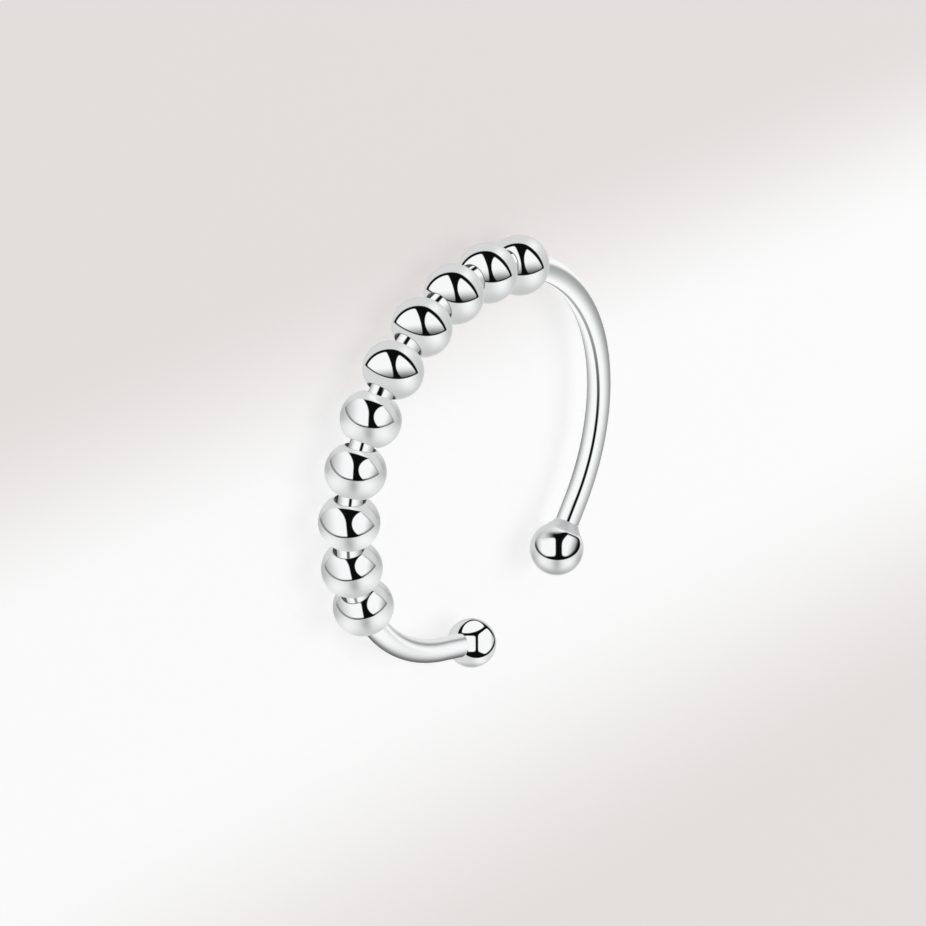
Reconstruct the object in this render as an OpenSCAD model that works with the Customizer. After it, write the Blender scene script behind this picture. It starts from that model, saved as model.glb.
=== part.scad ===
// Open spinner ring: a round silver wire with a ball on each end and a row of beads that spin on it.
// The ring lies flat. Its axis is Z, its middle is the origin, and the gap in the wire faces -Y.

/* [Wire] */
// Diameter of the circle that the wire's centre line is bent to
band_d = 20; // [17:0.1:26]
// Thickness of the round wire
wire_d = 1.2; // [0.8:0.05:1.5]
// Straight run of wire from each end of the bend to the middle of its ball
tail_l = 2.6; // [1.5:0.1:4]

/* [End balls] */
// Clear distance between the two end balls
end_gap = 4.8; // [2:0.1:6]
// Diameter of the ball with the neck
neck_ball_d = 2.75; // [2:0.05:3.5]
// Diameter of the ball without a neck
plain_ball_d = 2.5; // [2:0.05:3.5]
// How far the neck reaches along the wire, from the surface of its ball
neck_l = 0.15; // [0.05:0.05:0.6]

/* [Beads] */
// Number of beads in the row
bead_count = 10; // [1:1:11]
// Widest diameter of a bead
bead_d = 3; // [2.6:0.05:3.4]
// How far the centre of the arc round a bead's side lies off the axis of its bore
side_offset = 0.15; // [0:0.05:0.4]
// Room between the wire and the bore all round
bore_clearance = 0.13; // [0.08:0.01:0.2]
// Width of the flat ring round each mouth of the bore
rim_w = 0.05; // [0.02:0.01:0.2]
// Gap between neighbouring beads where they come closest, on the finger's side
bead_gap = 0.04; // [0.02:0.01:0.15]
// Direction of the row's middle seen from the ring's middle, turned from +X toward +Y
row_angle = 120; // [100:1:135]

/* [Hidden] */
$fn = 64;
gap_angle = -90;
full_turn = 360;

band_r = band_d / 2;
wire_r = wire_d / 2;

// A bead's side is an arc, its bore is straight and its rims are flat
bore_r = wire_r + bore_clearance;
rim_r = bore_r + rim_w;
side_r = bead_d / 2 - side_offset;
bead_half_l = sqrt(side_r ^ 2 - (rim_r - side_offset) ^ 2);

// A bead sits inward by half the rise of the bent wire inside its straight bore, so the play is even
wire_rise = band_r - sqrt(band_r ^ 2 - bead_half_l ^ 2);
row_r = band_r - wire_rise / 2;

// Neighbours come closest at the finger's side of their rims
rim_reach = row_r - rim_r;
bead_pitch = 2 * (atan(bead_half_l / rim_reach) + asin(bead_gap / 2 / norm([rim_reach, bead_half_l])));

// Angle from the middle of the gap to the end of the bend that carries a ball of this size
function bend_end(ball_d) =
    atan(tail_l / band_r) + asin((end_gap / 2 + ball_d / 2) / norm([band_r, tail_l]));

function bead_angle(i) = row_angle + (i - (bead_count + 1) / 2) * bead_pitch;
function bead_name(i) = str("bead_", i < 10 ? "0" : "", i);

// The bent stretch of the wire, from one straight tail round to the other
module bend() {
    start = gap_angle + bend_end(neck_ball_d);
    sweep = full_turn - bend_end(neck_ball_d) - bend_end(plain_ball_d);
    rotate([0, 0, start])
        rotate_extrude(angle = sweep)
            translate([band_r, 0])
                circle(r = wire_r);
}

// One straight tail with its ball, on the +X side of the gap. Children are placed at the ball's
// middle, with Z back along the wire
module tail(ball_d) {
    rotate([0, 0, gap_angle + bend_end(ball_d)])
        translate([band_r, -tail_l, 0])
            rotate([-90, 0, 0]) {
                cylinder(h = tail_l, r = wire_r);
                sphere(d = ball_d);
                children();
            }
}

// A cone that leaves the ball as a tangent and narrows to the wire
module neck(ball_r) {
    tip = ball_r + neck_l;
    turn = atan2(wire_r, tip) + acos(ball_r / norm([tip, wire_r]));
    foot = ball_r * cos(turn);
    translate([0, 0, foot])
        cylinder(h = tip - foot, r1 = ball_r * sin(turn), r2 = wire_r);
}

module band() {
    color("silver") {
        bend();
        tail(neck_ball_d)
            neck(neck_ball_d / 2);
        mirror([1, 0, 0])
            tail(plain_ball_d);
    }
}

// Half of a bead's cross-section, beside the axis of its bore
module bead_section() {
    intersection() {
        translate([side_offset, 0])
            circle(r = side_r);
        translate([bore_r, -bead_half_l])
            square([bead_d, 2 * bead_half_l]);
    }
}

module bead(i) {
    color("silver")
        rotate([0, 0, bead_angle(i)])
            translate([row_r, 0, 0])
                rotate([-90, 0, 0])
                    rotate_extrude()
                        bead_section();
}

band();
for (i = [1:bead_count]) {
    bead(i);
}
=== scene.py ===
import math

import bmesh
import bpy
from mathutils import Matrix, Vector


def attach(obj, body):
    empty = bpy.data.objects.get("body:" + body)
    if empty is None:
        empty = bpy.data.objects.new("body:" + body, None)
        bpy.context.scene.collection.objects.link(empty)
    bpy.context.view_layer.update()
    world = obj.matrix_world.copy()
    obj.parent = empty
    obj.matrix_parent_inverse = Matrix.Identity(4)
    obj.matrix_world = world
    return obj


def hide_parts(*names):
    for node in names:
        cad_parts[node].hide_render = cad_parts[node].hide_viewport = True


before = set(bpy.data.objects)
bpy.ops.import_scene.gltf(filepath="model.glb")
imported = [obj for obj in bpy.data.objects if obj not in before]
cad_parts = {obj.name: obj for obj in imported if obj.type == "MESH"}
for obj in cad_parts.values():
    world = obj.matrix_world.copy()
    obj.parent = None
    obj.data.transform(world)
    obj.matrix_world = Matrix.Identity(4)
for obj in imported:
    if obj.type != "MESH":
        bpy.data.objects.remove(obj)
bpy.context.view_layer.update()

mm = 0.001


# Small helpers for node trees

def put(tree, socket, value):
    # A socket takes a number that runs through the tree, another socket or a plain value
    if isinstance(value, Number):
        tree.links.new(value.socket, socket)
    elif isinstance(value, bpy.types.NodeSocket):
        tree.links.new(value, socket)
    else:
        socket.default_value = value


def add(tree, kind, inputs=None, **settings):
    node = tree.nodes.new(kind)
    for name, value in settings.items():
        setattr(node, name, value)
    for name, value in (inputs or {}).items():
        put(tree, node.inputs[name], value)
    return node


def work(operation, *values):
    tree = next(value.tree for value in values if isinstance(value, Number))
    node = tree.nodes.new("ShaderNodeMath")
    node.operation = operation
    for socket, value in zip(node.inputs, values):
        put(tree, socket, value)
    return Number(tree, node.outputs[0])


class Number:
    # A number that runs through a node tree, so that a formula can be written as one

    def __init__(self, tree, socket):
        self.tree = tree
        self.socket = socket

    def __add__(self, other):
        return work("ADD", self, other)

    def __radd__(self, other):
        return work("ADD", other, self)

    def __sub__(self, other):
        return work("SUBTRACT", self, other)

    def __rsub__(self, other):
        return work("SUBTRACT", other, self)

    def __mul__(self, other):
        return work("MULTIPLY", self, other)

    def __rmul__(self, other):
        return work("MULTIPLY", other, self)

    def __truediv__(self, other):
        return work("DIVIDE", self, other)

    def __pow__(self, other):
        return work("POWER", self, other)

    def __neg__(self):
        return work("MULTIPLY", self, -1.0)

    def __gt__(self, other):
        return work("GREATER_THAN", self, other)

    def __lt__(self, other):
        return work("LESS_THAN", self, other)


def root(value):
    return work("SQRT", value)


def clamp(value, low, high):
    return work("MINIMUM", work("MAXIMUM", value, low), high)


def chosen(test, yes, no):
    return no + (yes - no) * test


def ramp(value, start, end):
    # 0 up to the start, 1 from the end on, soft between; the start may be the larger of the two
    node = add(value.tree, "ShaderNodeMapRange",
               {"Value": value, "From Min": start, "From Max": end, "To Min": 0.0, "To Max": 1.0},
               interpolation_type="SMOOTHSTEP")
    return Number(value.tree, node.outputs[0])


def vector(tree, x, y, z):
    return add(tree, "ShaderNodeCombineXYZ", {"X": x, "Y": y, "Z": z}).outputs[0]


def parted(tree, place):
    return [Number(tree, output) for output in add(tree, "ShaderNodeSeparateXYZ", {"Vector": place}).outputs]


def blended(tree, share, first, second):
    # The second colour over the first, by its share
    colours = {6: first, 7: second}
    return add(tree, "ShaderNodeMix", {"Factor": share, **colours}, data_type="RGBA").outputs[2]


def newMaterial(name):
    material = bpy.data.materials.new(name)
    material.use_nodes = True
    material.node_tree.nodes.clear()
    return material, material.node_tree


def both(tree, first, second):
    return add(tree, "ShaderNodeAddShader", {0: first.outputs[0], 1: second.outputs[0]})


def show(tree, shader, kind="ShaderNodeOutputMaterial"):
    add(tree, kind, {0: shader.outputs[0]})


def placed(name, data):
    thing = bpy.data.objects.new(name, data)
    bpy.context.scene.collection.objects.link(thing)
    return thing


def geometryTree(name, sizes):
    # An empty tree with a named input for each size; returns it with its group-input wires
    tree = bpy.data.node_groups.new(name, "GeometryNodeTree")
    tree.interface.new_socket("Geometry", in_out="INPUT", socket_type="NodeSocketGeometry")
    tree.interface.new_socket("Geometry", in_out="OUTPUT", socket_type="NodeSocketGeometry")
    for label, value in sizes.items():
        kind = "NodeSocketFloat"
        if isinstance(value, bpy.types.Material):
            kind = "NodeSocketMaterial"
        elif isinstance(value, int):
            kind = "NodeSocketInt"
        tree.interface.new_socket(label, in_out="INPUT", socket_type=kind)
    entry = tree.nodes.new("NodeGroupInput")
    given = {label: Number(tree, entry.outputs[label]) for label in sizes}
    return tree, given


def endTree(tree, geometry, material):
    real = add(tree, "GeometryNodeRealizeInstances", {"Geometry": geometry})
    dressed = add(tree, "GeometryNodeSetMaterial", {"Geometry": real.outputs[0], "Material": material})
    exitNode = tree.nodes.new("NodeGroupOutput")
    tree.links.new(dressed.outputs[0], exitNode.inputs[0])


def grow(name, tree, values):
    # One object from a tree: its inputs set by identifier, its result kept as a plain mesh
    holder = placed(name + "_tree", bpy.data.meshes.new(name + "_seed"))
    modifier = holder.modifiers.new("Shape", "NODES")
    modifier.node_group = tree
    identifiers = {item.name: item.identifier for item in tree.interface.items_tree
                   if item.item_type == "SOCKET" and item.in_out == "INPUT"}
    for label, value in values.items():
        modifier[identifiers[label]] = value
    seen = bpy.context.evaluated_depsgraph_get()
    mesh = bpy.data.meshes.new_from_object(holder.evaluated_get(seen))
    mesh.name = name
    holder.modifiers.remove(modifier)
    bpy.data.objects.remove(holder)
    return placed(name, mesh)


# Camera, on the photograph's side

camera = {
    "aim": (-0.537, -0.003, -0.496),  # mm
    "azimuth": 127.492,               # from +X toward +Y
    "elevation": 33.220,
    "distance": 241.51,               # mm
    "roll": 110.443,                  # so that the lying ring stands upright in the picture
    "lens": 189.60,
    "sensor": 36,
    "clip": (0.01, 50),               # m
}


def placeCamera():
    data = bpy.data.cameras.new("photoCamera")
    data.sensor_fit = "HORIZONTAL"
    data.sensor_width = camera["sensor"]
    data.lens = camera["lens"]
    data.clip_start, data.clip_end = camera["clip"]
    azimuth = math.radians(camera["azimuth"])
    elevation = math.radians(camera["elevation"])
    back = Vector((math.cos(elevation) * math.cos(azimuth),
                   math.cos(elevation) * math.sin(azimuth),
                   math.sin(elevation)))
    level = Vector((0, 0, 1)).cross(back).normalized()
    turn = Matrix.Rotation(math.radians(camera["roll"]), 3, back)
    right = turn @ level
    up = turn @ back.cross(level)
    place = Vector(camera["aim"]) * mm + back * camera["distance"] * mm
    viewer = placed("photoCamera", data)
    viewer.matrix_world = Matrix((
        (right.x, up.x, back.x, place.x),
        (right.y, up.y, back.y, place.y),
        (right.z, up.z, back.z, place.z),
        (0, 0, 0, 1)))
    bpy.context.scene.camera = viewer
    return right, up, back


photoRight, photoUp, photoBack = placeCamera()
print("camera placed")


# Polished silver

silver = {
    "colour": (0.955, 0.962, 0.968, 1),
    "polish": (0.025, 0.055),  # roughness where it is best and least polished
    "patches": {"perMetre": 900, "detail": 3, "roughness": 0.55, "range": (0.3, 0.7)},
    "clothMarks": {"perMetre": 14000, "detail": 2, "roughness": 0.6, "strength": 0.02,
                   "depth": 0.002},  # mm
    "bore": {"where": "inBore", "roughness": 0.4, "colour": (0.02, 0.019, 0.018, 1)},  # rougher as drilled, and near-black as painted shade inside the bore
    "neck": {"where": "onNeck", "roughness": 0.6},  # solder, filed and only brushed
}


def polishedSilver(name, rougherAndShaded=None):
    material, tree = newMaterial(name)
    place = add(tree, "ShaderNodeTexCoord").outputs["Object"]
    patches, marks = silver["patches"], silver["clothMarks"]
    cloud = add(tree, "ShaderNodeTexNoise", {
        "Vector": place, "Scale": patches["perMetre"], "Detail": patches["detail"],
        "Roughness": patches["roughness"]})
    start, end = patches["range"]
    best, least = silver["polish"]
    roughness = add(tree, "ShaderNodeMapRange", {
        "Value": cloud.outputs["Fac"], "From Min": start, "From Max": end,
        "To Min": best, "To Max": least}).outputs[0]
    hairlines = add(tree, "ShaderNodeTexNoise", {
        "Vector": place, "Scale": marks["perMetre"], "Detail": marks["detail"],
        "Roughness": marks["roughness"]})
    bump = add(tree, "ShaderNodeBump", {
        "Height": hairlines.outputs["Fac"], "Strength": marks["strength"], "Distance": marks["depth"] * mm})
    colour = silver["colour"]
    if rougherAndShaded:
        share = add(tree, "ShaderNodeAttribute", attribute_name=rougherAndShaded["where"]).outputs["Fac"]
        roughness = add(tree, "ShaderNodeMapRange", {
            "Value": share, "To Min": roughness, "To Max": rougherAndShaded["roughness"]}).outputs[0]
        # A dark colour given here is painted shade, as inside the bore
        if "colour" in rougherAndShaded:
            colour = blended(tree, share, colour, rougherAndShaded["colour"])
    show(tree, add(tree, "ShaderNodeBsdfPrincipled", {
        "Base Color": colour, "Metallic": 1.0, "Roughness": roughness, "Normal": bump.outputs[0]}))
    return material


beadSilver = polishedSilver("beadSilver", silver["bore"])
wireSilver = polishedSilver("wireSilver")
neckSilver = polishedSilver("neckSilver", silver["neck"])
print("silver mixed")


# Sizes of the wire, the beads and the end balls, in mm and degrees

wire = {
    "bendDiameter": 20,      # of the circle that the wire's centre line follows
    "thickness": 1.2,
    "tail": 2.6,             # straight run to the middle of each ball
    "gap": 4.8,              # between the balls
    "seam": 187.8,           # ring angle where the two lengths meet, inside the last bead
    "stations": (660, 160),  # along the first length and the last one
    "sides": 80,
}

bead = {
    "count": 10,
    "diameter": 3.0,
    "sideOffset": 0.15,    # middle of the side's arc, off the bore's axis
    "boreClearance": 0.13,
    "rimWidth": 0.05,
    "easedEdge": 0.03,
    "gap": 0.04,           # between neighbours where they come closest
    "rowMiddle": 120,      # ring angle
    "sideSteps": 63,
    "edgeSteps": 5,
    "turns": 128,
    "boreStop": 0.85,      # where the section's ends lie in the bore, as a share of its half length
    "weld": 0.0001,        # points nearer than this become one
}

endBalls = {
    "neckBall": {"diameter": 2.75, "neck": 0.1, "side": 1, "silver": neckSilver},
    "plainBall": {"diameter": 2.5, "neck": 0.0, "side": -1, "silver": wireSilver},
    "neckFoot": 45,        # angle from the wire's line at which the neck leaves its ball
    "neckSlope": 0.6,      # how steeply it meets the wire
    "solder": 0.02,        # softness of the joint between wire and ball
    "collar": 0.3,         # how far the joint may reach past the ball
    "sink": 0.001,         # how deep the joint's end lies in the wire
    "stations": 220,
    "turns": 128,
    "weld": 0.00001,
}


# Beads: a turned section with eased edges, swept round its own bore

def beadRow():
    # Radius and step of the row; a straight bore on bent wire has even play when it sits a little inward
    bend = wire["bendDiameter"] / 2
    rim = wire["thickness"] / 2 + bead["boreClearance"] + bead["rimWidth"]
    side = bead["diameter"] / 2 - bead["sideOffset"]
    half = math.sqrt(side ** 2 - (rim - bead["sideOffset"]) ** 2)
    radius = (bend + math.sqrt(bend ** 2 - half ** 2)) / 2
    reach = radius - rim
    step = 2 * (math.atan(half / reach) + math.asin(bead["gap"] / 2 / math.hypot(reach, half)))
    return radius, math.degrees(step)


def beadTree(material):
    tree, given = geometryTree("turnedBead", {
        "Diameter": 0.0, "Side Offset": 0.0, "Wire Thickness": 0.0, "Bore Clearance": 0.0, "Rim Width": 0.0,
        "Eased Edge": 0.0, "Bore Stop": 0.0, "Weld": 0.0, "Row Radius": 0.0, "Angle Round Ring": 0.0,
        "Side Steps": 1, "Edge Steps": 1, "Turns": 1, "Silver": material})
    offset = given["Side Offset"]
    bore = given["Wire Thickness"] / 2 + given["Bore Clearance"]
    rim = bore + given["Rim Width"] - offset
    side = given["Diameter"] / 2 - offset
    half = root(side ** 2 - rim ** 2)
    halfTurn = work("ARCTAN2", half, rim)
    steps = given["Side Steps"]

    # Point 0 and the last lie inside the bore, the next ones are its corners, the rest follow the side
    line = add(tree, "GeometryNodeMeshLine", {"Count": steps + 4})
    index = Number(tree, add(tree, "GeometryNodeInputIndex").outputs[0])
    fromMiddle = index - (steps + 3) / 2
    way = work("SIGN", fromMiddle)
    away = work("ABSOLUTE", fromMiddle)
    lastOnSide = (steps - 1) / 2
    onSide = away < lastOnSide + 0.5
    turn = halfTurn * clamp(fromMiddle / lastOnSide, -1, 1)
    inBore = work("MINIMUM", lastOnSide + 2 + given["Bore Stop"] - away, 1)
    outward = chosen(onSide, offset + side * work("COSINE", turn), bore) - bore
    along = chosen(onSide, side * work("SINE", turn), way * half * inBore)
    section = add(tree, "GeometryNodeSetPosition",
                  {"Geometry": line.outputs[0], "Position": vector(tree, outward, along, 0.0)})
    outline = add(tree, "GeometryNodeMeshToCurve", {"Mesh": section.outputs[0]})
    closed = add(tree, "GeometryNodeSetSplineCyclic", {"Geometry": outline.outputs[0], "Cyclic": True})
    corner = (away > lastOnSide - 0.5) * (away < lastOnSide + 1.5)
    eased = add(tree, "GeometryNodeFilletCurve",
                {"Curve": closed.outputs[0], "Count": given["Edge Steps"],
                 "Radius": given["Eased Edge"] * corner, "Limit Radius": True}, mode="POLY")

    path = add(tree, "GeometryNodeCurvePrimitiveCircle", {"Resolution": given["Turns"], "Radius": bore})
    level = add(tree, "GeometryNodeSetCurveNormal", {"Curve": path.outputs[0]}, mode="Z_UP")
    turned = add(tree, "GeometryNodeCurveToMesh",
                 {"Curve": level.outputs[0], "Profile Curve": eased.outputs[0]})
    joined = add(tree, "GeometryNodeMergeByDistance",
                 {"Geometry": turned.outputs[0], "Distance": given["Weld"]})
    x, y, z = parted(tree, add(tree, "GeometryNodeInputPosition").outputs[0])
    past = (root(x ** 2 + y ** 2) - bore) / given["Rim Width"] - 0.5
    # Marks the bore and its mouth, where the silver is rougher and painted dark as shade
    marked = add(tree, "GeometryNodeStoreNamedAttribute",
                 {"Geometry": joined.outputs[0], "Name": "inBore", "Value": 1 - clamp(past, 0, 1)})
    threaded = add(tree, "GeometryNodeTransform",
                   {"Geometry": marked.outputs[0], "Translation": vector(tree, given["Row Radius"], 0.0, 0.0),
                    "Rotation": (-math.pi / 2, 0, 0)})
    roundRing = vector(tree, 0.0, 0.0, given["Angle Round Ring"])
    spread = add(tree, "GeometryNodeTransform", {"Geometry": threaded.outputs[0], "Rotation": roundRing})
    smooth = add(tree, "GeometryNodeSetShadeSmooth", {"Geometry": spread.outputs[0]})
    endTree(tree, smooth.outputs[0], given["Silver"])
    return tree


def makeBeads():
    tree = beadTree(beadSilver)
    radius, step = beadRow()
    row = []
    for number in range(1, bead["count"] + 1):
        angle = bead["rowMiddle"] + (number - (bead["count"] + 1) / 2) * step
        piece = grow(f"silverBead{number:02d}", tree, {
            "Diameter": bead["diameter"] * mm,
            "Side Offset": bead["sideOffset"] * mm,
            "Wire Thickness": wire["thickness"] * mm,
            "Bore Clearance": bead["boreClearance"] * mm,
            "Rim Width": bead["rimWidth"] * mm,
            "Eased Edge": bead["easedEdge"] * mm,
            "Bore Stop": bead["boreStop"],
            "Weld": bead["weld"] * mm,
            "Row Radius": radius * mm,
            "Angle Round Ring": math.radians(angle),
            "Side Steps": bead["sideSteps"],
            "Edge Steps": bead["edgeSteps"],
            "Turns": bead["turns"],
            "Silver": beadSilver,
        })
        node = f"bead_{number:02d}"
        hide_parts(node)
        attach(piece, node)
        row.append(piece)
    return row


beads = makeBeads()
print("beads turned:", len(beads), "with", len(beads[0].data.vertices), "points each")


# Band: bent wire with straight tails, and a ball soldered on each end

def bendEnd(given, ballRadius):
    # Angle from the middle of the gap to the end of the bend that carries a ball of this size
    bend, tail = given["Bend Radius"], given["Tail"]
    apart = given["Gap"] / 2 + ballRadius
    return work("ARCTANGENT", tail / bend) + work("ARCSINE", apart / root(bend ** 2 + tail ** 2))


def wireTree(material):
    tree, given = geometryTree("bentWire", {
        "Bend Radius": 0.0, "Wire Radius": 0.0, "Tail": 0.0, "Gap": 0.0, "First Ball Radius": 0.0,
        "Last Ball Radius": 0.0, "Seam Angle": 0.0, "Past Seam": 0.0, "Stations": 1, "Sides": 1,
        "Silver": material})
    bend, tail = given["Bend Radius"], given["Tail"]
    first = bendEnd(given, given["First Ball Radius"])
    last = bendEnd(given, given["Last Ball Radius"])
    bendLength = bend * (2 * math.pi - first - last)
    length = bendLength + 2 * tail
    toSeam = (given["Seam Angle"] + math.pi / 2 - first) * bend + tail

    # Each point's run along the wire, counted from the start of the bend, gives its place
    line = add(tree, "GeometryNodeMeshLine", {"Count": given["Stations"]})
    index = Number(tree, add(tree, "GeometryNodeInputIndex").outputs[0])
    share = index / (given["Stations"] - 1)
    run = chosen(given["Past Seam"], toSeam + (length - toSeam) * share, toSeam * share) - tail
    onBend = clamp(run, 0.0, bendLength)
    straight = run - onBend
    turn = first - math.pi / 2 + onBend / bend
    east, north = work("COSINE", turn), work("SINE", turn)
    path = add(tree, "GeometryNodeSetPosition", {
        "Geometry": line.outputs[0],
        "Position": vector(tree, bend * east - straight * north, bend * north + straight * east, 0.0)})
    curve = add(tree, "GeometryNodeMeshToCurve", {"Mesh": path.outputs[0]})
    level = add(tree, "GeometryNodeSetCurveNormal", {"Curve": curve.outputs[0]}, mode="Z_UP")
    section = add(tree, "GeometryNodeCurvePrimitiveCircle",
                  {"Resolution": given["Sides"], "Radius": given["Wire Radius"]})
    swept = add(tree, "GeometryNodeCurveToMesh",
                {"Curve": level.outputs[0], "Profile Curve": section.outputs[0], "Fill Caps": True})
    smooth = add(tree, "GeometryNodeSetShadeSmooth", {"Geometry": swept.outputs[0]})
    endTree(tree, smooth.outputs[0], given["Silver"])
    return tree


def ballTree(material):
    tree, given = geometryTree("solderedBall", {
        "Bend Radius": 0.0, "Wire Radius": 0.0, "Tail": 0.0, "Gap": 0.0, "Ball Radius": 0.0,
        "Neck Length": 0.0, "Neck Foot": 0.0, "Neck Slope": 0.0, "Solder": 0.0, "Collar": 0.0, "Sink": 0.0,
        "Weld": 0.0, "Side": 1.0, "Stations": 1, "Turns": 1, "Silver": material})
    ball, thick, side = given["Ball Radius"], given["Wire Radius"], given["Side"]

    # Stations run from the ball's far pole back along the wire, crowded at both ends
    line = add(tree, "GeometryNodeMeshLine", {"Count": given["Stations"]})
    index = Number(tree, add(tree, "GeometryNodeInputIndex").outputs[0])
    share = index / (given["Stations"] - 1)
    along = (2 * ball + given["Collar"]) * (1 - work("COSINE", math.pi * share)) / 2 - ball
    back = side * (along - given["Tail"])
    path = add(tree, "GeometryNodeSetPosition", {
        "Geometry": line.outputs[0], "Position": vector(tree, given["Bend Radius"], back, 0.0)})

    # The neck leaves the ball as a tangent and flares in to the wire; solder rounds its joint there
    foot, slope = given["Neck Foot"], given["Neck Slope"]
    start = ball * work("COSINE", foot)
    tip = ball + given["Neck Length"]
    reach = tip - start
    part = clamp((along - start) / reach, 0.0, 1.0)
    rest = 1 - part
    flare = (ball * work("SINE", foot) * rest ** 2 * (1 + 2 * part)
             - reach * part * rest ** 2 / work("TANGENT", foot)
             + thick * part ** 2 * (1 + 2 * rest) + slope * reach * part ** 2 * rest
             - slope * work("MAXIMUM", along - tip, 0.0))
    sphere = root(work("MAXIMUM", ball ** 2 - along ** 2, 0.0))
    onNeck = (given["Neck Length"] > 0.0) * (along > start)
    shape = chosen(onNeck, flare, sphere)
    joint = chosen(along > 0.0, thick - given["Sink"], -1.0)
    radius = work("SMOOTH_MAX", shape, joint, given["Solder"])
    notAnEnd = (share > 0.0) * (share < 1.0)

    marked = add(tree, "GeometryNodeStoreNamedAttribute",
                 {"Geometry": path.outputs[0], "Name": "onNeck", "Value": onNeck})
    curve = add(tree, "GeometryNodeMeshToCurve", {"Mesh": marked.outputs[0]})
    level = add(tree, "GeometryNodeSetCurveNormal", {"Curve": curve.outputs[0]}, mode="Z_UP")
    section = add(tree, "GeometryNodeCurvePrimitiveCircle", {"Resolution": given["Turns"], "Radius": 1.0})
    swept = add(tree, "GeometryNodeCurveToMesh",
                {"Curve": level.outputs[0], "Profile Curve": section.outputs[0], "Scale": radius * notAnEnd})
    joined = add(tree, "GeometryNodeMergeByDistance",
                 {"Geometry": swept.outputs[0], "Distance": given["Weld"]})
    turn = side * bendEnd(given, ball) - math.pi / 2
    turned = add(tree, "GeometryNodeTransform",
                 {"Geometry": joined.outputs[0], "Rotation": vector(tree, 0.0, 0.0, turn)})
    smooth = add(tree, "GeometryNodeSetShadeSmooth", {"Geometry": turned.outputs[0]})
    endTree(tree, smooth.outputs[0], given["Silver"])
    return tree


def joinBand(piece):
    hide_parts("band")
    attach(piece, "band")
    return piece


def bendSizes():
    return {
        "Bend Radius": wire["bendDiameter"] / 2 * mm,
        "Wire Radius": wire["thickness"] / 2 * mm,
        "Tail": wire["tail"] * mm,
        "Gap": wire["gap"] * mm,
    }


def makeWire(name, tree, pastSeam):
    return joinBand(grow(name, tree, {
        **bendSizes(),
        "First Ball Radius": endBalls["neckBall"]["diameter"] / 2 * mm,
        "Last Ball Radius": endBalls["plainBall"]["diameter"] / 2 * mm,
        "Seam Angle": math.radians(wire["seam"]),
        "Past Seam": float(pastSeam),
        "Stations": wire["stations"][pastSeam],
        "Sides": wire["sides"],
        "Silver": wireSilver,
    }))


def makeBall(name, tree, ball):
    return joinBand(grow(name, tree, {
        **bendSizes(),
        "Ball Radius": ball["diameter"] / 2 * mm,
        "Neck Length": ball["neck"] * mm,
        "Neck Foot": math.radians(endBalls["neckFoot"]),
        "Neck Slope": endBalls["neckSlope"],
        "Solder": endBalls["solder"] * mm,
        "Collar": endBalls["collar"] * mm,
        "Sink": endBalls["sink"] * mm,
        "Weld": endBalls["weld"] * mm,
        "Side": float(ball["side"]),
        "Stations": endBalls["stations"],
        "Turns": endBalls["turns"],
        "Silver": ball["silver"],
    }))


bentWireTree = wireTree(wireSilver)
bentWire = makeWire("silverWire", bentWireTree, 0)
wireEnd = makeWire("silverWireEnd", bentWireTree, 1)
print("wire bent:", len(bentWire.data.vertices) + len(wireEnd.data.vertices), "points")

solderedBallTree = ballTree(wireSilver)
neckBall = makeBall("silverNeckBall", solderedBallTree, endBalls["neckBall"])
plainBall = makeBall("silverPlainBall", solderedBallTree, endBalls["plainBall"])
print("balls soldered:", len(neckBall.data.vertices), "points each")

silverPieces = beads + [bentWire, wireEnd, neckBall, plainBall]
for piece in silverPieces:
    piece.visible_glossy = False  # as in the photograph, the silver mirrors the light panels only


# Floor

floor = {
    "half": 2.5,  # m
    "bright": (0.96, 0.96, 0.96, 1),
    "paintedShade": (0.765, 0.733, 0.72, 1),
    "own": 0.445,                      # share of its light that the floor gives off itself, as a painted glow
    "slope": 0.43,                     # of the band of painted light across the floor
    "rise": (-0.034, -0.012),          # where the band starts and is full, in m
    "fall": (0.014, 0.001),            # where it ends and is still full
}


def layFloor():
    low = min(vertex.co.z for piece in silverPieces for vertex in piece.data.vertices)
    half = floor["half"]
    mesh = bpy.data.meshes.new("paleFloor")
    mesh.from_pydata([(-half, -half, low), (half, -half, low), (half, half, low), (-half, half, low)], [],
                     [(0, 1, 2, 3)])
    plane = placed("paleFloor", mesh)
    material, tree = newMaterial("paleFloor")
    x, y, z = parted(tree, add(tree, "ShaderNodeTexCoord").outputs["Object"])
    # The floor's colour paints light and shade: bright in a band across it, painted shade outside
    across = y + floor["slope"] * x
    lit = ramp(across, *floor["rise"]) * ramp(across, *floor["fall"])
    tone = blended(tree, lit, floor["paintedShade"], floor["bright"])
    matt = add(tree, "ShaderNodeBsdfDiffuse", {"Color": tone})
    # Painted glow: the floor lights itself, which also pales its shadows
    ownGlow = add(tree, "ShaderNodeEmission", {"Color": tone, "Strength": floor["own"]})
    show(tree, both(tree, matt, ownGlow))
    mesh.materials.append(material)
    plane.visible_glossy = False  # the tents stand in for it in the silver


layFloor()
print("floor laid")


# What the light tents show, drawn as a mirror ball at the ring's place would show it to the photograph's
# camera: x runs across and y up, both from -1 to 1. An outline is the circle through three points.
# A pair under "across" or "up" says where along x or y something starts to show and where it is full.

bright = 0.97  # a light panel
ink = 0.004    # the dark gaps between panels
crisp = 0.014  # softness of a sharp outline


def disc(x, y, middle, size):
    # Distance outside a disc, negative inside it
    return root((x - middle[0]) ** 2 + (y - middle[1]) ** 2) - size


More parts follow.
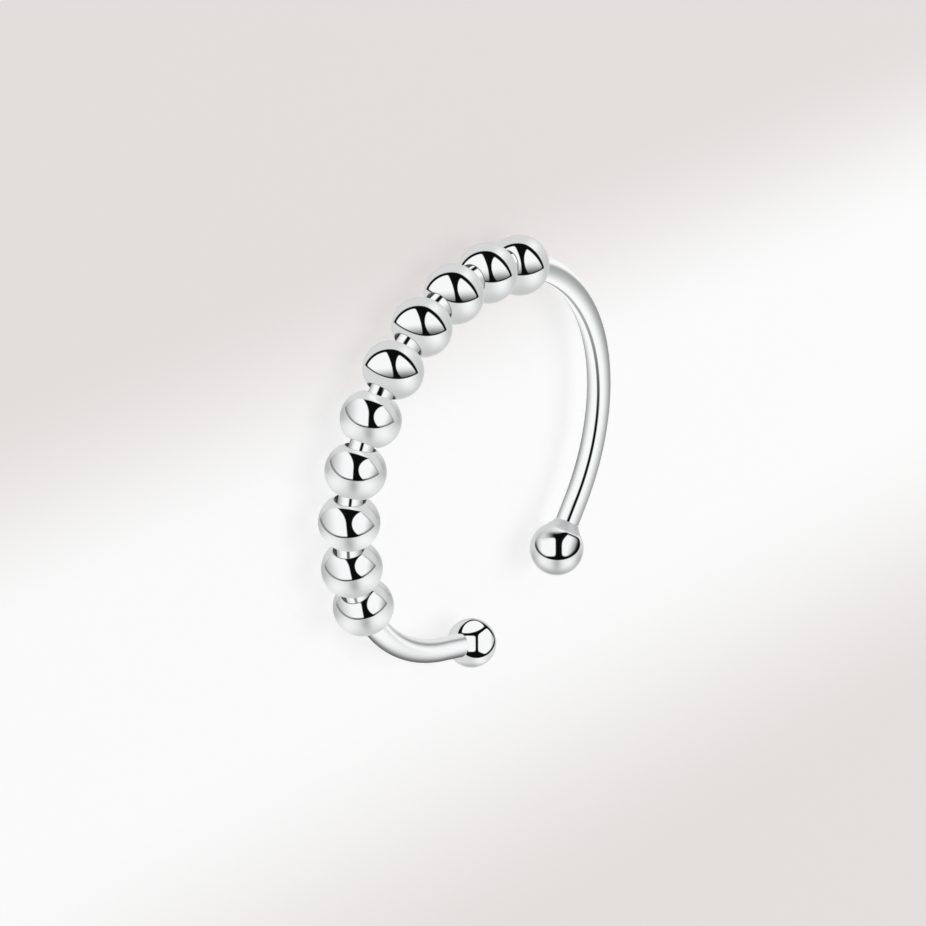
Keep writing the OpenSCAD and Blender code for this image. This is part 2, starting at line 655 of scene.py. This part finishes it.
def arc(x, y, points):
    # Distance outside the circle through three points
    (ax, ay), (bx, by), (cx, cy) = points
    a, b, c = ax ** 2 + ay ** 2, bx ** 2 + by ** 2, cx ** 2 + cy ** 2
    area = 2 * (ax * (by - cy) + bx * (cy - ay) + cx * (ay - by))
    middle = ((a * (by - cy) + b * (cy - ay) + c * (ay - by)) / area,
              (a * (cx - bx) + b * (ax - cx) + c * (bx - ax)) / area)
    return disc(x, y, middle, math.hypot(ax - middle[0], ay - middle[1]))


def oval(x, y, middle, half):
    # Roughly the distance outside an oval
    return (root(((x - middle[0]) / half[0]) ** 2 + ((y - middle[1]) / half[1]) ** 2) - 1) * half[1]


def above(x, y, height, slope):
    # Distance above a straight line with this height at x = 0
    return (y - slope * x - height) / math.hypot(1, slope)


def under(value, edge, softness):
    return 1 - ramp(value, edge - softness, edge + softness)


def stroke(value, half, softness):
    return under(work("ABSOLUTE", value), half, softness)


def farther(first, *others):
    for other in others:
        first = work("MAXIMUM", first, other)
    return first


def nearer(first, *others):
    for other in others:
        first = work("MINIMUM", first, other)
    return first


def rounded(softness, first, *others):
    for other in others:
        first = work("SMOOTH_MAX", first, other, softness)
    return first


def faded(x, y, area):
    return ramp(x, *area["across"]) * ramp(y, *area["up"])


def surround(x, y, look):
    # The room round the panels: one tone with soft round spots and slopes in it
    tone = look["tone"]
    for strength, middle, size, squeeze in look["spots"]:
        tone = tone + strength * (1 - ramp(disc(x, squeeze * y, middle, 0.0), 0.0, size))
    for strength, (across, up), edges in look["slopes"]:
        tone = tone + strength * ramp(across * x + up * y, *edges)
    return tone


def roomHeight(x, y):
    # Height on the room's sphere, from -1 to 1, of what a mirror ball shows there
    depth = root(work("MAXIMUM", 1 - x ** 2 - y ** 2, 0.0))
    return 2 * depth * (x * photoRight[2] + y * photoUp[2] + depth * photoBack[2]) - photoBack[2]


farSide = {
    "edge": (0.92, 0.99),  # the rim of the mirror ball, where it shows what lies behind it
    "tone": 0.66,
}


def calmed(x, y, tone):
    return chosen(ramp(root(x ** 2 + y ** 2), *farSide["edge"]), farSide["tone"], tone)


# For the first five beads

eye = {
    "lidLeft": ((-0.88, 0.20), (-0.40, 0.62), (0.17, 0.655)),
    "lidRight": ((0.17, 0.655), (0.545, 0.375), (0.80, -0.05)),
    "lower": ((-0.78, -0.02), (0.0, -0.34), (0.70, -0.155)),
    "lidCorner": 0.04,
    "line": 0.045,
    "leftTop": ((-0.795, 0.19), (-0.51, 0.47), (-0.24, 0.575)),
    "leftSide": ((-0.19, 0.545), (-0.07, 0.18), (-0.02, -0.27)),
    "rightSide": ((0.20, 0.50), (0.085, 0.17), (0.20, -0.22)),
    "rightTop": ((0.23, 0.48), (0.505, 0.25), (0.72, -0.05)),
    "panelCorner": 0.08,
    "panelEdge": 0.016,
    "darkening": 0.88,
    "downward": {"lean": 0.14, "edges": (-0.10, 0.36)},
    "rightEnd": {"share": 0.7, "across": (0.42, 0.62), "up": (0.16, -0.16)},
    "tone": 0.70,
    "spots": (             # strength, middle, size, and a factor on y that makes the spot taller below 1
        (0.26, (0.46, -0.36), 0.55, 1),
        (0.25, (0.42, 0.60), 0.35, 1)),
    "slopes": (            # strength, direction across and up, where it starts and is full
        (-0.14, (0.8, -0.2), (0.4, 0.85)),
        (-0.14, (0, -1), (0.5, 1.0))),
}


def eyePattern(x, y):
    # Two panels under a thick dark lid, over a thin dark line
    lower = arc(x, y, eye["lower"])
    outline = rounded(eye["lidCorner"], arc(x, y, eye["lidLeft"]), arc(x, y, eye["lidRight"]), lower)
    line = lower + eye["line"]
    corner = eye["panelCorner"]
    left = rounded(corner, arc(x, y, eye["leftTop"]), arc(x, y, eye["leftSide"]), line)
    right = rounded(corner, arc(x, y, eye["rightTop"]), arc(x, y, eye["rightSide"]), line)
    downward, rightEnd = eye["downward"], eye["rightEnd"]
    atEnd = rightEnd["share"] * faded(x, y, rightEnd)
    dark = farther(ramp(downward["lean"] * x - y, *downward["edges"]), atEnd)
    panel = bright - eye["darkening"] * dark
    inside = chosen(under(nearer(left, right), 0.0, eye["panelEdge"]), panel, ink)
    return calmed(x, y, chosen(under(outline, 0.0, crisp), inside, surround(x, y, eye)))


# For the last five beads

tee = {
    "lowerLeft": ((-0.81, 0.25), (-0.56, -0.15), (0.0, -0.31)),
    "lowerRight": ((0.0, -0.31), (0.42, -0.235), (0.76, 0.0)),
    "lowerLine": {"width": 0.06, "soft": 0.03, "up": (0.5, 0.25), "tone": 0.20, "fromMiddle": (0.28, 0.5)},
    "parting": 0.07,       # where the left half gives way to the right one
    "lidEdge": 0.03,
    "leftLid": {"through": ((-0.82, 0.30), (-0.60, 0.55), (-0.24, 0.64)),
                "half": 0.015, "soft": 0.04, "tone": 0.38, "across": (-0.40, -0.75)},
    "rightLid": {"through": ((0.36, 0.50), (0.60, 0.24), (0.76, -0.03)),
                 "half": 0.02, "soft": 0.03, "tone": 0.20, "across": (0.34, 0.46)},
    "secondLid": {"through": ((0.65, 0.55), (0.76, 0.40), (0.84, 0.22)),
                  "half": 0.02, "soft": 0.04, "depth": 0.14, "across": (0.5, 0.6), "up": (0.1, 0.25)},
    "wedgeTop": ((-0.24, 0.64), (0.05, 0.60), (0.375, 0.50)),
    "wedgeLeft": ((-0.24, 0.63), (-0.115, 0.42), (-0.06, 0.12)),
    "wedgeFoot": 0.12,     # height under which the wedge's left side is straight
    "wedgeRight": ((0.375, 0.49), (0.11, 0.13), (0.28, -0.25)),
    "wedgeEnd": 0.42,
    "wedgeEdge": 0.016,
    "leftPanel": {"depth": 0.58, "across": (-0.28, -0.90)},
    "rightPanel": {"depth": 0.62, "lean": 0.25, "across": (0.40, 0.74)},
    "flanks": {"depth": 0.20, "across": (0.62, 0.92), "up": (-0.35, 0.05)},
    "tone": 0.70,
    "spots": (
        (0.24, (0.42, -0.44), 0.5, 1),
        (0.22, (-0.55, -0.42), 0.5, 1),
        (0.28, (0.03, 0.74), 0.22, 1),
        (-0.25, (-0.02, -0.25), 0.26, 0.55)),
    "slopes": ((-0.10, (0, -1), (0.65, 0.95)),),
    "places": {            # turn in degrees, scale and shift on the beads down the row
        "upper": (-4.5, 1.03, (-0.002, 0.004)),
        "lower": (4.2, 1.117, (-0.01, -0.157)),
        "last": (11.7, 1.037, (0.011, -0.038))},
}


def teePattern(x, y):
    # Two panels beside a dark wedge; their outlines fade out to both sides
    side = work("ABSOLUTE", x)
    onRight = x > tee["parting"]
    lower = chosen(x > 0.0, arc(x, y, tee["lowerRight"]), arc(x, y, tee["lowerLeft"]))
    leftLid, rightLid, secondLid = tee["leftLid"], tee["rightLid"], tee["secondLid"]
    leftArc, rightArc, secondArc = (arc(x, y, lid["through"]) for lid in (leftLid, rightLid, secondLid))
    flanks = tee["flanks"]
    second = stroke(secondArc, secondLid["half"], secondLid["soft"]) * faded(x, y, secondLid)
    tone = surround(x, y, tee) - flanks["depth"] * faded(side, y, flanks) - secondLid["depth"] * second

    leftPanel, rightPanel = tee["leftPanel"], tee["rightPanel"]
    leftTone = bright - leftPanel["depth"] * ramp(x, *leftPanel["across"])
    rightTone = bright - rightPanel["depth"] * ramp(x - rightPanel["lean"] * y, *rightPanel["across"])
    inside = chosen(onRight, rightTone, leftTone)
    line = tee["lowerLine"]
    edge = stroke(lower + line["width"] / 2, line["width"] / 2, line["soft"]) * ramp(y, *line["up"])
    inside = chosen(edge, ink + line["tone"] * ramp(side, *line["fromMiddle"]), inside)
    for lid, outline in ((rightLid, rightArc), (leftLid, leftArc)):
        drawn = stroke(outline, lid["half"], lid["soft"]) * ramp(x, *lid["across"])
        inside = chosen(drawn, lid["tone"], inside)
    lit = chosen(under(chosen(onRight, rightArc, leftArc), 0.0, tee["lidEdge"]), inside, tone)

    wedgeLeft = arc(x, work("MAXIMUM", y, tee["wedgeFoot"]), tee["wedgeLeft"])
    wedge = farther(-wedgeLeft, -arc(x, y, tee["wedgeRight"]), arc(x, y, tee["wedgeTop"]),
                    x - tee["wedgeEnd"])
    within = under(lower, 0.0, crisp)
    return calmed(x, y, chosen(under(wedge, 0.0, tee["wedgeEdge"]) * within, ink, chosen(within, lit, tone)))


def teeAt(name):
    # The same pattern turned, scaled and shifted
    turn, scale, (right, up) = tee["places"][name]
    east, north = math.cos(math.radians(turn)) / scale, math.sin(math.radians(turn)) / scale

    def pattern(x, y):
        x, y = x - right, y - up
        return teePattern(x * east + y * north, y * east - x * north)

    return pattern


# For the ball with the neck

cup = {
    "middle": (0.025, 0.185),
    "half": (0.85, 0.61),
    "top": 0.61,
    "neckLine": (0.765, -0.437),   # height and slope of the line above which the neck is seen
    "neckCorner": 0.10,
    "topEdge": {"soft": 0.07, "across": (0.3, 0.0), "up": (0.4, 0.5)},
    "rim": {"thin": 0.06, "thick": 0.10, "soft": 0.04, "across": (0.0, 0.6), "up": (0.35, 0.1)},
    "rimGap": {"share": 0.75, "across": (-0.3, -0.5), "up": (0.05, 0.4)},
    "bottom": -0.28,
    "left": {"side": -0.055, "top": 0.41, "corner": 0.16, "dim": 0.60, "across": (-0.74, -0.52)},
    "right": {"side": 0.185, "topLine": (0.11, 1), "corner": 0.2, "depth": 0.80, "lean": 0.35,
              "across": (0.36, 0.76)},
    "parting": 0.06,               # where the left panel's tone gives way to the right one's
    "panelEdge": 0.025,
    "haze": {"dim": 0.66, "full": 0.96, "across": (-0.35, 0.25)},
    "hazeInside": {"across": (-0.08, -0.50), "up": (0.25, 0.46)},
    "hazeAbove": (0.10, 0.35),
    "foot": {"depth": 0.34, "fromMiddle": (0.68, 1.0), "up": (0.1, -0.4)},
    "tone": 0.70,
    "spots": (
        (0.24, (0.45, -0.55), 0.5, 1),
        (0.22, (-0.5, -0.5), 0.5, 1),
        (-0.22, (0.0, -0.33), 0.26, 0.6)),
    "slopes": (),
}


def cupPattern(x, y):
    # Two rounded panels with a dark bar between them, in a dark cup whose top fades out to the left
    bowl = oval(x, y, cup["middle"], cup["half"])
    edge = rounded(cup["neckCorner"], bowl, above(x, y, *cup["neckLine"]))
    outline = farther(edge, y - cup["top"])
    bottom, leftPanel, rightPanel = cup["bottom"], cup["left"], cup["right"]
    left = rounded(leftPanel["corner"], x - leftPanel["side"], y - leftPanel["top"], bottom - y)
    right = rounded(rightPanel["corner"], rightPanel["side"] - x, bottom - y,
                    above(x, y, *rightPanel["topLine"]))
    leftTone = chosen(ramp(x, *leftPanel["across"]), bright, leftPanel["dim"])
    rightTone = bright - rightPanel["depth"] * ramp(x - rightPanel["lean"] * y, *rightPanel["across"])
    panels = chosen(x > cup["parting"], rightTone, leftTone)
    inside = chosen(under(nearer(left, right), 0.0, cup["panelEdge"]), panels, ink)

    haze, rim, gap = cup["haze"], cup["rim"], cup["rimGap"]
    pale = chosen(ramp(x, *haze["across"]), haze["full"], haze["dim"])
    inside = chosen(faded(x, y, cup["hazeInside"]), pale, inside)
    wider = (rim["thick"] - rim["thin"]) * faded(x, y, rim)
    dark = under(-edge - wider, rim["thin"], rim["soft"]) * (1 - gap["share"] * faded(x, y, gap))
    inside = chosen(dark, ink, inside)
    foot = cup["foot"]
    shadow = ramp(root(x ** 2 + y ** 2), *foot["fromMiddle"]) * ramp(y, *foot["up"])
    outside = chosen(ramp(y, *cup["hazeAbove"]), pale, surround(x, y, cup) - foot["depth"] * shadow)
    softness = crisp + cup["topEdge"]["soft"] * faded(x, y, cup["topEdge"])
    return calmed(x, y, chosen(under(outline, 0.0, softness), inside, outside))


# For the plain ball

web = {
    "ring": ((0.20, 0.19), 0.79),
    "ringCorner": ((0.14, 0.96), (0.72, 0.60), (1.02, 0.02)),
    "line": 0.078,
    "top": {"upper": ((-0.38, 0.52), (0.08, 0.90), (0.46, 0.74)),
            "lower": ((-0.33, 0.41), (0.07, 0.445), (0.40, 0.58)), "corner": 0.05},
    "left": {"side": 0.155, "top": 0.30, "bottom": -0.34, "end": -0.36, "corner": 0.15},
    "right": {"side": 0.265, "topLine": (0.155, 0.7), "bottomLine": (-0.20, -0.48), "corner": 0.10},
    "darkening": {"depth": 0.40, "across": (0.72, 0.92)},
    "tone": 0.72,
    "spots": ((0.22, (0.35, -0.68), 0.4, 1),),
    "slopes": ((-0.34, (0, -1), (0.74, 0.99)),),
}


def webPattern(x, y):
    # Three panels, parted by a dark web that closes in a ring round them
    ring = farther(disc(x, y, *web["ring"]), arc(x, y, web["ringCorner"]))
    topPanel, leftPanel, rightPanel = web["top"], web["left"], web["right"]
    top = rounded(topPanel["corner"], arc(x, y, topPanel["upper"]), arc(x, y, topPanel["lower"]))
    right = rounded(rightPanel["corner"], ring + web["line"], rightPanel["side"] - x,
                    above(x, y, *rightPanel["topLine"]), -above(x, y, *rightPanel["bottomLine"]))
    left = rounded(leftPanel["corner"], x - leftPanel["side"], y - leftPanel["top"],
                   leftPanel["bottom"] - y, leftPanel["end"] - x)
    darkening = web["darkening"]
    panels = bright - darkening["depth"] * ramp(x, *darkening["across"])
    inside = chosen(under(nearer(top, right, left), 0.0, crisp), panels, ink)
    return calmed(x, y, chosen(under(ring, 0.0, crisp), inside, surround(x, y, web)))


# For the long stretch of wire

glint = {
    "bright": 0.98,
    "left": {"depth": 0.60, "across": (-0.46, -1.04), "deeper": 0.16, "up": (-0.1, 0.2)},
    "right": {"depth": 0.72, "across": (0.30, 1.08), "up": (0.45, 0.1)},
    "line": {"place": 0.04, "lean": 0.18, "half": 0.12, "soft": 0.05},
    "bend": {"up": (0.04, 0.16), "aside": 0.16, "wider": 0.25},  # what the line does above the middle
    "fade": {"up": (-0.30, -0.90), "tone": 0.42},                # and how it pales below the middle
}


def glintPattern(x, y):
    # Bright all over, with one dark line down the middle and soft grey edges
    left, right, line = glint["left"], glint["right"], glint["line"]
    leftDepth = left["depth"] + left["deeper"] * ramp(y, *left["up"])
    tone = nearer(glint["bright"] - leftDepth * ramp(x, *left["across"]),
                  glint["bright"] - right["depth"] * faded(x, y, right))
    bend, fade = glint["bend"], glint["fade"]
    bent = ramp(y, *bend["up"])
    off = (x - line["place"] - line["lean"] * y + bend["aside"] * bent) / (1 + bend["wider"] * bent)
    dark = ink + fade["tone"] * ramp(y, *fade["up"])
    return chosen(stroke(off, line["half"], line["soft"]), dark, tone)


# For the short end of the wire

shade = {
    "upper": {"depth": 0.18, "up": (0.1, 0.6)},
    "lower": {"depth": 0.80, "fromMiddle": (0.80, 0.97), "up": (0.0, -0.3)},
    "line": {"round": ((0.34, 0.086), 0.58), "half": 0.05, "soft": 0.07, "tone": 0.30, "up": (0.0, 0.42)},
    "inner": ((-0.25, 0.0), 0.80),  # the part of the room that the wire end shows only to other sides
    "innerEdge": 0.03,
    "innerLine": {"height": 0.30, "half": 0.07, "soft": 0.06},
    "innerTone": {"dim": 0.70, "full": 0.97, "height": (0.0, 0.6)},
}


def shadePattern(x, y):
    # One broad highlight between a soft grey line above and a grey edge below
    upper, lower, line = shade["upper"], shade["lower"], shade["line"]
    foot = ramp(root(x ** 2 + y ** 2), *lower["fromMiddle"]) * ramp(y, *lower["up"])
    tone = nearer(bright - upper["depth"] * ramp(y, *upper["up"]), bright - lower["depth"] * foot)
    drawn = stroke(disc(x, y, *line["round"]), line["half"], line["soft"]) * ramp(y, *line["up"])
    tone = chosen(drawn, line["tone"], tone)
    innerLine, innerTone = shade["innerLine"], shade["innerTone"]
    height = roomHeight(x, y)
    plain = chosen(ramp(height, *innerTone["height"]), innerTone["full"], innerTone["dim"])
    inner = chosen(stroke(height - innerLine["height"], innerLine["half"], innerLine["soft"]), ink, plain)
    return chosen(under(disc(x, y, *shade["inner"]), 0.0, shade["innerEdge"]), inner, tone)


# Light: soft studio tents that only the silver sees, a soft lamp and a pale room

tents = {
    "radius": 4.0,      # of the first, in m
    "step": 0.1,        # each next one is wider by this, so that no two touch
    "subdivisions": 5,
}


def mirrorPlace(tree):
    # Where the photograph's camera finds this part of a tent on a mirror ball: across and up
    position = add(tree, "ShaderNodeNewGeometry").outputs["Position"]
    outward = add(tree, "ShaderNodeVectorMath", {0: position}, operation="NORMALIZE").outputs[0]
    leaning = add(tree, "ShaderNodeVectorMath", {0: outward, 1: photoBack}, operation="ADD").outputs[0]
    facing = add(tree, "ShaderNodeVectorMath", {0: leaning}, operation="NORMALIZE").outputs[0]
    found = []
    for axis in (photoRight, photoUp):
        dot = add(tree, "ShaderNodeVectorMath", {0: facing, 1: axis}, operation="DOT_PRODUCT")
        found.append(Number(tree, dot.outputs["Value"]))
    return found


def pitchTent(name, radius, pattern, receivers):
    shell = bmesh.new()
    bmesh.ops.create_icosphere(shell, subdivisions=tents["subdivisions"], radius=radius)
    mesh = bpy.data.meshes.new(name)
    shell.to_mesh(mesh)
    shell.free()
    tent = placed(name, mesh)
    material, tree = newMaterial(name)
    x, y = mirrorPlace(tree)
    glow = add(tree, "ShaderNodeEmission", {"Strength": pattern(x, y)})
    clear = add(tree, "ShaderNodeBsdfTransparent")
    show(tree, both(tree, glow, clear))
    material.cycles.emission_sampling = "NONE"
    mesh.materials.append(material)
    tent.visible_camera = False
    tent.visible_diffuse = False
    tent.visible_shadow = False
    tent.visible_transmission = False
    lit = bpy.data.collections.new(name + "Receivers")
    for piece in receivers:
        lit.objects.link(piece)
    tent.light_linking.receiver_collection = lit


camp = (
    ("eyeTent", eyePattern, beads[:5]),
    ("upperTeeTent", teeAt("upper"), beads[5:7]),
    ("lowerTeeTent", teeAt("lower"), beads[7:8]),
    ("lastTeeTent", teeAt("last"), beads[8:]),
    ("wireTent", glintPattern, [bentWire]),
    ("wireEndTent", shadePattern, [wireEnd]),
    ("neckBallTent", cupPattern, [neckBall]),
    ("plainBallTent", webPattern, [plainBall]),
)
for number, (name, pattern, receivers) in enumerate(camp):
    pitchTent(name, tents["radius"] + number * tents["step"], pattern, receivers)
print("tents pitched:", len(camp))


room = {
    "level": 0.49,
    "lampPower": 0.445,
    "lampSize": 0.5,                 # m
    "lampPlace": (0.33, -0.15, 0.6),
}


def lightRoom():
    world = bpy.data.worlds.new("paleRoom")
    bpy.context.scene.world = world
    world.use_nodes = True
    tree = world.node_tree
    tree.nodes.clear()
    mirrored = Number(tree, add(tree, "ShaderNodeLightPath").outputs["Is Glossy Ray"])
    strength = room["level"] * (1.0 - mirrored)
    glow = add(tree, "ShaderNodeBackground", {"Color": (1, 1, 1, 1), "Strength": strength})
    show(tree, glow, "ShaderNodeOutputWorld")


def hangLamp():
    data = bpy.data.lights.new("softLamp", "AREA")
    data.shape = "DISK"
    data.size = room["lampSize"]
    data.energy = room["lampPower"]
    data.specular_factor = 0
    lamp = placed("softLamp", data)
    place = Vector(room["lampPlace"])
    lamp.location = place
    lamp.rotation_mode = "QUATERNION"
    lamp.rotation_quaternion = (-place).to_track_quat("-Z", "Y")
    lamp.visible_camera = False
    lamp.visible_glossy = False


lightRoom()
hangLamp()
bpy.context.scene.view_settings.view_transform = "Standard"
print("lights set")
